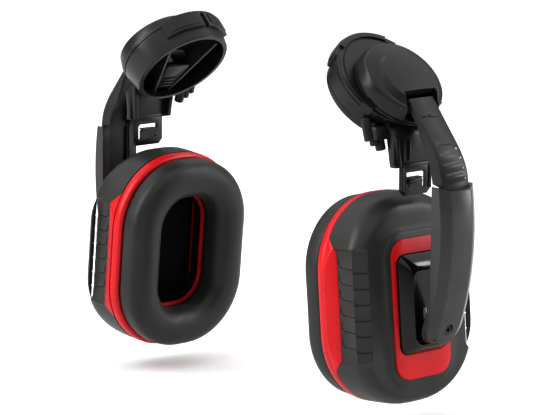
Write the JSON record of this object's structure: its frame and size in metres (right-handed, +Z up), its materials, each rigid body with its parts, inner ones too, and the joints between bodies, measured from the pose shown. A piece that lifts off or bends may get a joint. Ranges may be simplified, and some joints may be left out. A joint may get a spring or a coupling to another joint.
{
  "type": "helmet-mounted earmuff hearing protector",
  "caption": "Pair of cap-mounted earmuffs: padded ear cups on sprung, height-adjustable arms that swing from turrets on helmet slot clips.",
  "frame": {"origin": "midway between the two helmet slots, level with the shoulders of the slot blades, as the pair hangs on a helmet", "axes": "+Z up, X across the head from one cup to the other, Y front to back"},
  "size_m": [0.2672, 0.081, 0.1805],
  "materials": {
    "black_plastic": "satin",
    "satin_black": "satin",
    "gloss_black": "gloss",
    "shell_grey": "satin",
    "red_plastic": "satin",
    "cushion_vinyl": "matte",
    "foam": "matte",
    "spring_steel": "brushed"
  },
  "bodies": {
    "helmet_clips": {"right_helmet_clip": "black_plastic", "right_clip_cover": "black_plastic", "left_helmet_clip": "black_plastic", "left_clip_cover": "black_plastic"},
    "right_turret": {"right_turret_base": "black_plastic", "right_turret_cap": "black_plastic", "right_cap_screws": "spring_steel", "right_hub_washer": "spring_steel", "right_hub_screw": "spring_steel", "right_detent_spring": "spring_steel", "right_hinge_pin": "spring_steel"},
    "right_inner_arm": {"right_inner_arm": "satin_black", "right_arm_spring": "spring_steel"},
    "right_outer_arm": {"right_outer_arm": "gloss_black", "right_catch_spring": "spring_steel", "right_pivot_carrier": "black_plastic", "right_arm_screw": "black_plastic", "right_tilt_pin": "spring_steel"},
    "right_yoke": {"right_swivel_yoke": "black_plastic"},
    "right_cup": {"right_swivel_pin": "spring_steel", "right_pivot_seat": "gloss_black", "right_seat_screws": "spring_steel", "right_face_panel": "red_plastic", "right_cup_shell": "shell_grey", "right_trim_ring": "red_plastic", "right_foam_liner": "foam", "right_cushion_plate": "black_plastic", "right_cushion_foam": "foam", "right_cushion_skin": "cushion_vinyl"},
    "left_turret": {"left_turret_base": "black_plastic", "left_turret_cap": "black_plastic", "left_cap_screws": "spring_steel", "left_hub_washer": "spring_steel", "left_hub_screw": "spring_steel", "left_detent_spring": "spring_steel", "left_hinge_pin": "spring_steel"},
    "left_inner_arm": {"left_inner_arm": "satin_black", "left_arm_spring": "spring_steel"},
    "left_outer_arm": {"left_outer_arm": "gloss_black", "left_catch_spring": "spring_steel", "left_pivot_carrier": "black_plastic", "left_arm_screw": "black_plastic", "left_tilt_pin": "spring_steel"},
    "left_yoke": {"left_swivel_yoke": "black_plastic"},
    "left_cup": {"left_swivel_pin": "spring_steel", "left_pivot_seat": "gloss_black", "left_seat_screws": "spring_steel", "left_face_panel": "red_plastic", "left_cup_shell": "shell_grey", "left_trim_ring": "red_plastic", "left_foam_liner": "foam", "left_cushion_plate": "black_plastic", "left_cushion_foam": "foam", "left_cushion_skin": "cushion_vinyl"}
  },
  "joints": [
    {"name": "right_turret_spin", "type": "hinge", "parent": "helmet_clips", "child": "right_turret", "pos_m": [0.0865, 0, 0.0344], "axis": [0.7071, 0, 0.7071], "range_deg": [-100, 100]},
    {"name": "right_arm_flip", "type": "hinge", "parent": "right_turret", "child": "right_inner_arm", "pos_m": [0.10156, 0, 0.02754], "axis": [0, -1, 0], "range_deg": [0, 38], "stiffness_Nm_per_rad": 1.2, "springref_deg": -28.65},
    {"name": "right_arm_slide", "type": "slide", "parent": "right_inner_arm", "child": "right_outer_arm", "axis": [0, 0, -1], "range_m": [0, 0.024]},
    {"name": "right_cup_tilt", "type": "hinge", "parent": "right_outer_arm", "child": "right_yoke", "pos_m": [0.1176, 0, -0.0783], "axis": [0, 1, 0], "range_deg": [-12, 3]},
    {"name": "right_cup_swivel", "type": "hinge", "parent": "right_yoke", "child": "right_cup", "pos_m": [0.10963, 0, -0.07906], "axis": [-0.0941, 0, 0.9956], "range_deg": [-10, 10]},
    {"name": "left_turret_spin", "type": "hinge", "parent": "helmet_clips", "child": "left_turret", "pos_m": [-0.0865, 0, 0.0344], "axis": [-0.7071, 0, 0.7071], "range_deg": [-100, 100]},
    {"name": "left_arm_flip", "type": "hinge", "parent": "left_turret", "child": "left_inner_arm", "pos_m": [-0.10156, 0, 0.02754], "axis": [0, 1, 0], "range_deg": [0, 38], "stiffness_Nm_per_rad": 1.2, "springref_deg": -28.65},
    {"name": "left_arm_slide", "type": "slide", "parent": "left_inner_arm", "child": "left_outer_arm", "axis": [0, 0, -1], "range_m": [0, 0.024]},
    {"name": "left_cup_tilt", "type": "hinge", "parent": "left_outer_arm", "child": "left_yoke", "pos_m": [-0.1176, 0, -0.0783], "axis": [0, -1, 0], "range_deg": [-12, 3]},
    {"name": "left_cup_swivel", "type": "hinge", "parent": "left_yoke", "child": "left_cup", "pos_m": [-0.10963, 0, -0.07906], "axis": [0.0941, 0, 0.9956], "range_deg": [-10, 10]}
  ]
}
